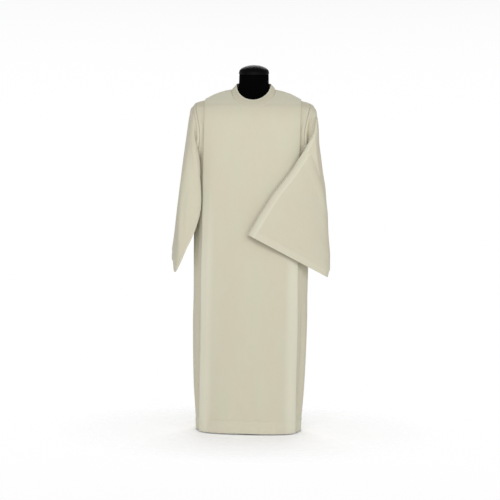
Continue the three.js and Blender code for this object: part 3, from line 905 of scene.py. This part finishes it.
def jerseyMaterial(name, roughness, rib):
    made = Material(name)
    place = made.node("ShaderNodeTexCoord", outlet=3)
    fuzz = made.noise(place, 900, 2)
    cloudy = made.noise(place, 14, 3)
    mottle = ((cloudy - 0.4) * 2.5).clamped()
    colour = made.blend(mottle, jerseyLook["dark"], jerseyLook["light"])
    parts = made.node("ShaderNodeSeparateXYZ", Vector=place)
    ribs = (Flow(made.tree, parts.socket.node.outputs[2]) * (math.tau / jerseyLook["ribs"])).sine()
    height = fuzz * 0.0002 + ribs * rib
    raised = made.node("ShaderNodeBump", Height=height, Strength=0.5, Distance=1.0)
    made.set(Base_Color=colour, Normal=raised, Roughness=roughness + (cloudy - 0.5) * 0.1)
    made.set(Specular_IOR_Level=0.01 if rib else 0.06)
    return made.data


def dressForm():
    heights = []
    for low, high in zip(formSections, formSections[1:]):
        steps = max(2, round((high[0] - low[0]) / formSize["ringStep"]))
        heights += [mix(low[0], high[0], i / steps) for i in range(steps)]
    grid, tilt = [], formSize["neckTilt"]
    for z in heights:
        halfWidth, depth, y, square = curveThrough(formSections, z)
        leaning = tilt * ease((z - formSize["tiltFrom"]) / (formTop - formSize["tiltFrom"]))
        grid.append(formRing(halfWidth, depth, y, square, z, leaning, formSeams))
    halfWidth, depth, y, square = formSections[-1][1:]
    grid.append(formRing(halfWidth, depth, y, square, formTop - 1.5, tilt))
    grid.append(formRing(halfWidth - 2, depth - 2, y, square, formTop, tilt))
    jersey = jerseyMaterial("form_jersey_cloth", 0.75, 0.00003)
    solidPiece("form_torso_cover", grid, jersey, ["form_torso"])


def neckCap():
    foot = formTop + capSize["gap"] + formSize["neckTilt"] * (capSize["y"] - formTopY)

    def ring(shrink, z):
        halfWidth, depth = capSize["halfWidth"] * shrink, capSize["depth"] * shrink
        return formRing(halfWidth, depth, capSize["y"], 2.0, z, formSize["neckTilt"])
    grid = [ring(shrink, foot + up) for shrink, up in capRim]
    for i in range(1, capSize["rings"]):
        turn = i / capSize["rings"] * math.pi / 2
        top = foot + capSize["rim"] + capSize["dome"] * math.sin(turn)
        grid.append(ring(0.992 * math.cos(turn) ** 1.05, top))
    cloth = jerseyMaterial("cap_cloth", 0.5, 0.0)
    solidPiece("form_neck_cap_cover", grid, cloth, ["form_neck_cap"])


# the stand
standSize = {"poleRadius": 17, "poleY": 10, "poleTop": 871.5, "baseRadius": 145, "thickness": 9,
             "hubRadius": 38, "hubHeight": 12, "around": 96}
steelLook = {"dark": (0.010, 0.010, 0.011), "light": (0.018, 0.018, 0.018), "roughness": 0.38}


def steelMaterial():
    made = Material("stand_powder_coat")
    place = made.node("ShaderNodeTexCoord", outlet=3)
    peel = made.noise(place, 420, 2)
    dust = made.noise(place, 16, 4)
    colour = made.blend(((dust - 0.45) * 3.0).clamped(), steelLook["dark"], steelLook["light"])
    raised = made.node("ShaderNodeBump", Height=peel * 0.0001, Strength=0.4, Distance=1.0)
    made.set(Base_Color=colour, Normal=raised,
             Roughness=steelLook["roughness"] + (dust - 0.5) * 0.2)
    made.set(Specular_IOR_Level=0.45)
    return made.data


def turnedPiece(name, profile, y, material, nodes):
    around = standSize["around"]
    turns = [c / around * math.tau for c in range(around)]
    grid = [[Vector((r * math.cos(t), y + r * math.sin(t), z)) for t in turns] for r, z in profile]
    solidPiece(name, grid, material, nodes)


def stand():
    steel = steelMaterial()
    base, thick, hub = standSize["baseRadius"], standSize["thickness"], standSize["hubRadius"]
    hubTop = thick + standSize["hubHeight"]
    rounded = [(base - 3 + 3 * math.cos(t), thick - 3 + 3 * math.sin(t))
               for t in (0.0, 0.4, 0.8, 1.2, 1.57)]
    turnedPiece("stand_base_plate", [
        (2, 0), (base - 1, 0), (base, 1), *rounded, (hub + 3, thick), (hub + 0.8, thick + 0.8),
        (hub, thick + 3), (hub - 2.2, hubTop - 1.2), (hub - 3.6, hubTop), (2, hubTop)],
        0, steel, ["stand_base"])
    r, top = standSize["poleRadius"], standSize["poleTop"]
    turnedPiece("stand_tube", [
        (r - 1.5, hubTop + 0.4), (r, hubTop + 1.4), (r, 300), (r, 600), (r, top - 1.5),
        (r - 1, top)], standSize["poleY"], steel, ["stand_pole"])


dressForm()
neckCap()
stand()


# the floor, the light and the camera

stageLook = {
    "floor": 0.93, "floorRadius": 1.2, "glow": 0.20,
    "fadeStart": 0.24, "fadeEnd": 0.80,
    "horizon": 1.0, "above": 0.30, "below": 0.75, "band": 0.32,
}
# name, place, width and height, energy; all face the middle of the gown
softLights = [
    ("left_soft", (-2.3, -3.0, 1.5), (1.4, 2.2), 10.0),
    ("right_soft", (2.3, -3.0, 1.5), (1.4, 2.2), 21.0),
    ("front_soft", (0, -3.75, 2.5), (2.4, 1.4), 60.0),
    ("back_soft", (0, 3.0, 3.4), (2.4, 1.4), 64.0),
]
lightAim = Vector((0, 0, 0.8))


def floorMaterial():
    made = Material("floor_paper")
    place = made.node("ShaderNodeTexCoord", outlet=3)
    length = {"operation": "LENGTH"}
    reach = made.node("ShaderNodeVectorMath", outlet=1, settings=length, Vector=place)
    shade = stageLook["floor"]
    made.set(Roughness=0.9, Specular_IOR_Level=0.1, Base_Color=(shade, shade, shade, 1),
             Emission_Color=(1, 1, 1, 1), Emission_Strength=stageLook["glow"])
    start, end = stageLook["fadeStart"], stageLook["fadeEnd"]
    fade = ((reach - start) / (end - start)).clamped()
    clear = made.tree.nodes.new("ShaderNodeBsdfTransparent")
    mixed = made.tree.nodes.new("ShaderNodeMixShader")
    made.tree.links.new(fade.socket, mixed.inputs[0])
    made.tree.links.new(made.shader.outputs[0], mixed.inputs[1])
    made.tree.links.new(clear.outputs[0], mixed.inputs[2])
    output = next(n for n in made.tree.nodes if n.type == "OUTPUT_MATERIAL")
    made.tree.links.new(mixed.outputs[0], output.inputs[0])
    return made.data


def floor():
    bm = bmesh.new()
    bmesh.ops.create_circle(bm, cap_ends=True, segments=96, radius=stageLook["floorRadius"])
    bmesh.ops.translate(bm, verts=bm.verts[:], vec=(0, 0, -0.0005))
    piece = toObject(bm, "floor")
    piece.data.materials.append(floorMaterial())


def softLight(name, place, size, energy):
    data = bpy.data.lights.new(name, "AREA")
    data.shape = "RECTANGLE"
    data.size, data.size_y = size
    data.energy = energy
    light = bpy.data.objects.new(name, data)
    bpy.context.collection.objects.link(light)
    light.location = place
    light.rotation_euler = (lightAim - Vector(place)).to_track_quat("-Z", "Y").to_euler()


def world():
    sky = bpy.data.worlds.new("studio")
    sky.use_nodes = True
    background = next(n for n in sky.node_tree.nodes if n.type == "BACKGROUND")
    # brightest at the horizon all round, a little dimmer below it and much dimmer above
    tree = sky.node_tree
    place = tree.nodes.new("ShaderNodeTexCoord")
    parts = tree.nodes.new("ShaderNodeSeparateXYZ")
    tree.links.new(place.outputs[0], parts.inputs[0])
    height = Flow(tree, parts.outputs[2])
    high = ((height * height) / stageLook["band"] ** 2).clamped() ** 3.0
    under = (height * -200.0).clamped()
    target = stageLook["above"] + under * (stageLook["below"] - stageLook["above"])
    strength = stageLook["horizon"] + high * (target - stageLook["horizon"])
    background.inputs[0].default_value = (1, 1, 1, 1)
    tree.links.new(strength.socket, background.inputs[1])
    bpy.context.scene.world = sky


cameraPlace = {"distance": 5.0, "height": 0.744, "azimuth": 3.0, "roll": 0.9, "lens": 86.75,
               "shiftX": -0.0024}


def camera():
    data = bpy.data.cameras.new("camera")
    data.lens = cameraPlace["lens"]
    data.sensor_width = 36
    data.shift_x = cameraPlace["shiftX"]
    data.clip_end = 50
    eye = bpy.data.objects.new("camera", data)
    bpy.context.collection.objects.link(eye)
    azimuth, roll = math.radians(cameraPlace["azimuth"]), math.radians(cameraPlace["roll"])
    place = Vector((math.sin(azimuth), -math.cos(azimuth), 0)) * cameraPlace["distance"]
    place.z = cameraPlace["height"]
    eye.matrix_world = (Matrix.Translation(place) @ Matrix.Rotation(azimuth, 4, "Z")
                        @ Matrix.Rotation(math.pi / 2, 4, "X") @ Matrix.Rotation(roll, 4, "Z"))
    bpy.context.scene.camera = eye


floor()
world()
for light in softLights:
    softLight(*light)
camera()
bpy.context.scene.view_settings.view_transform = "Standard"
print("stage set")
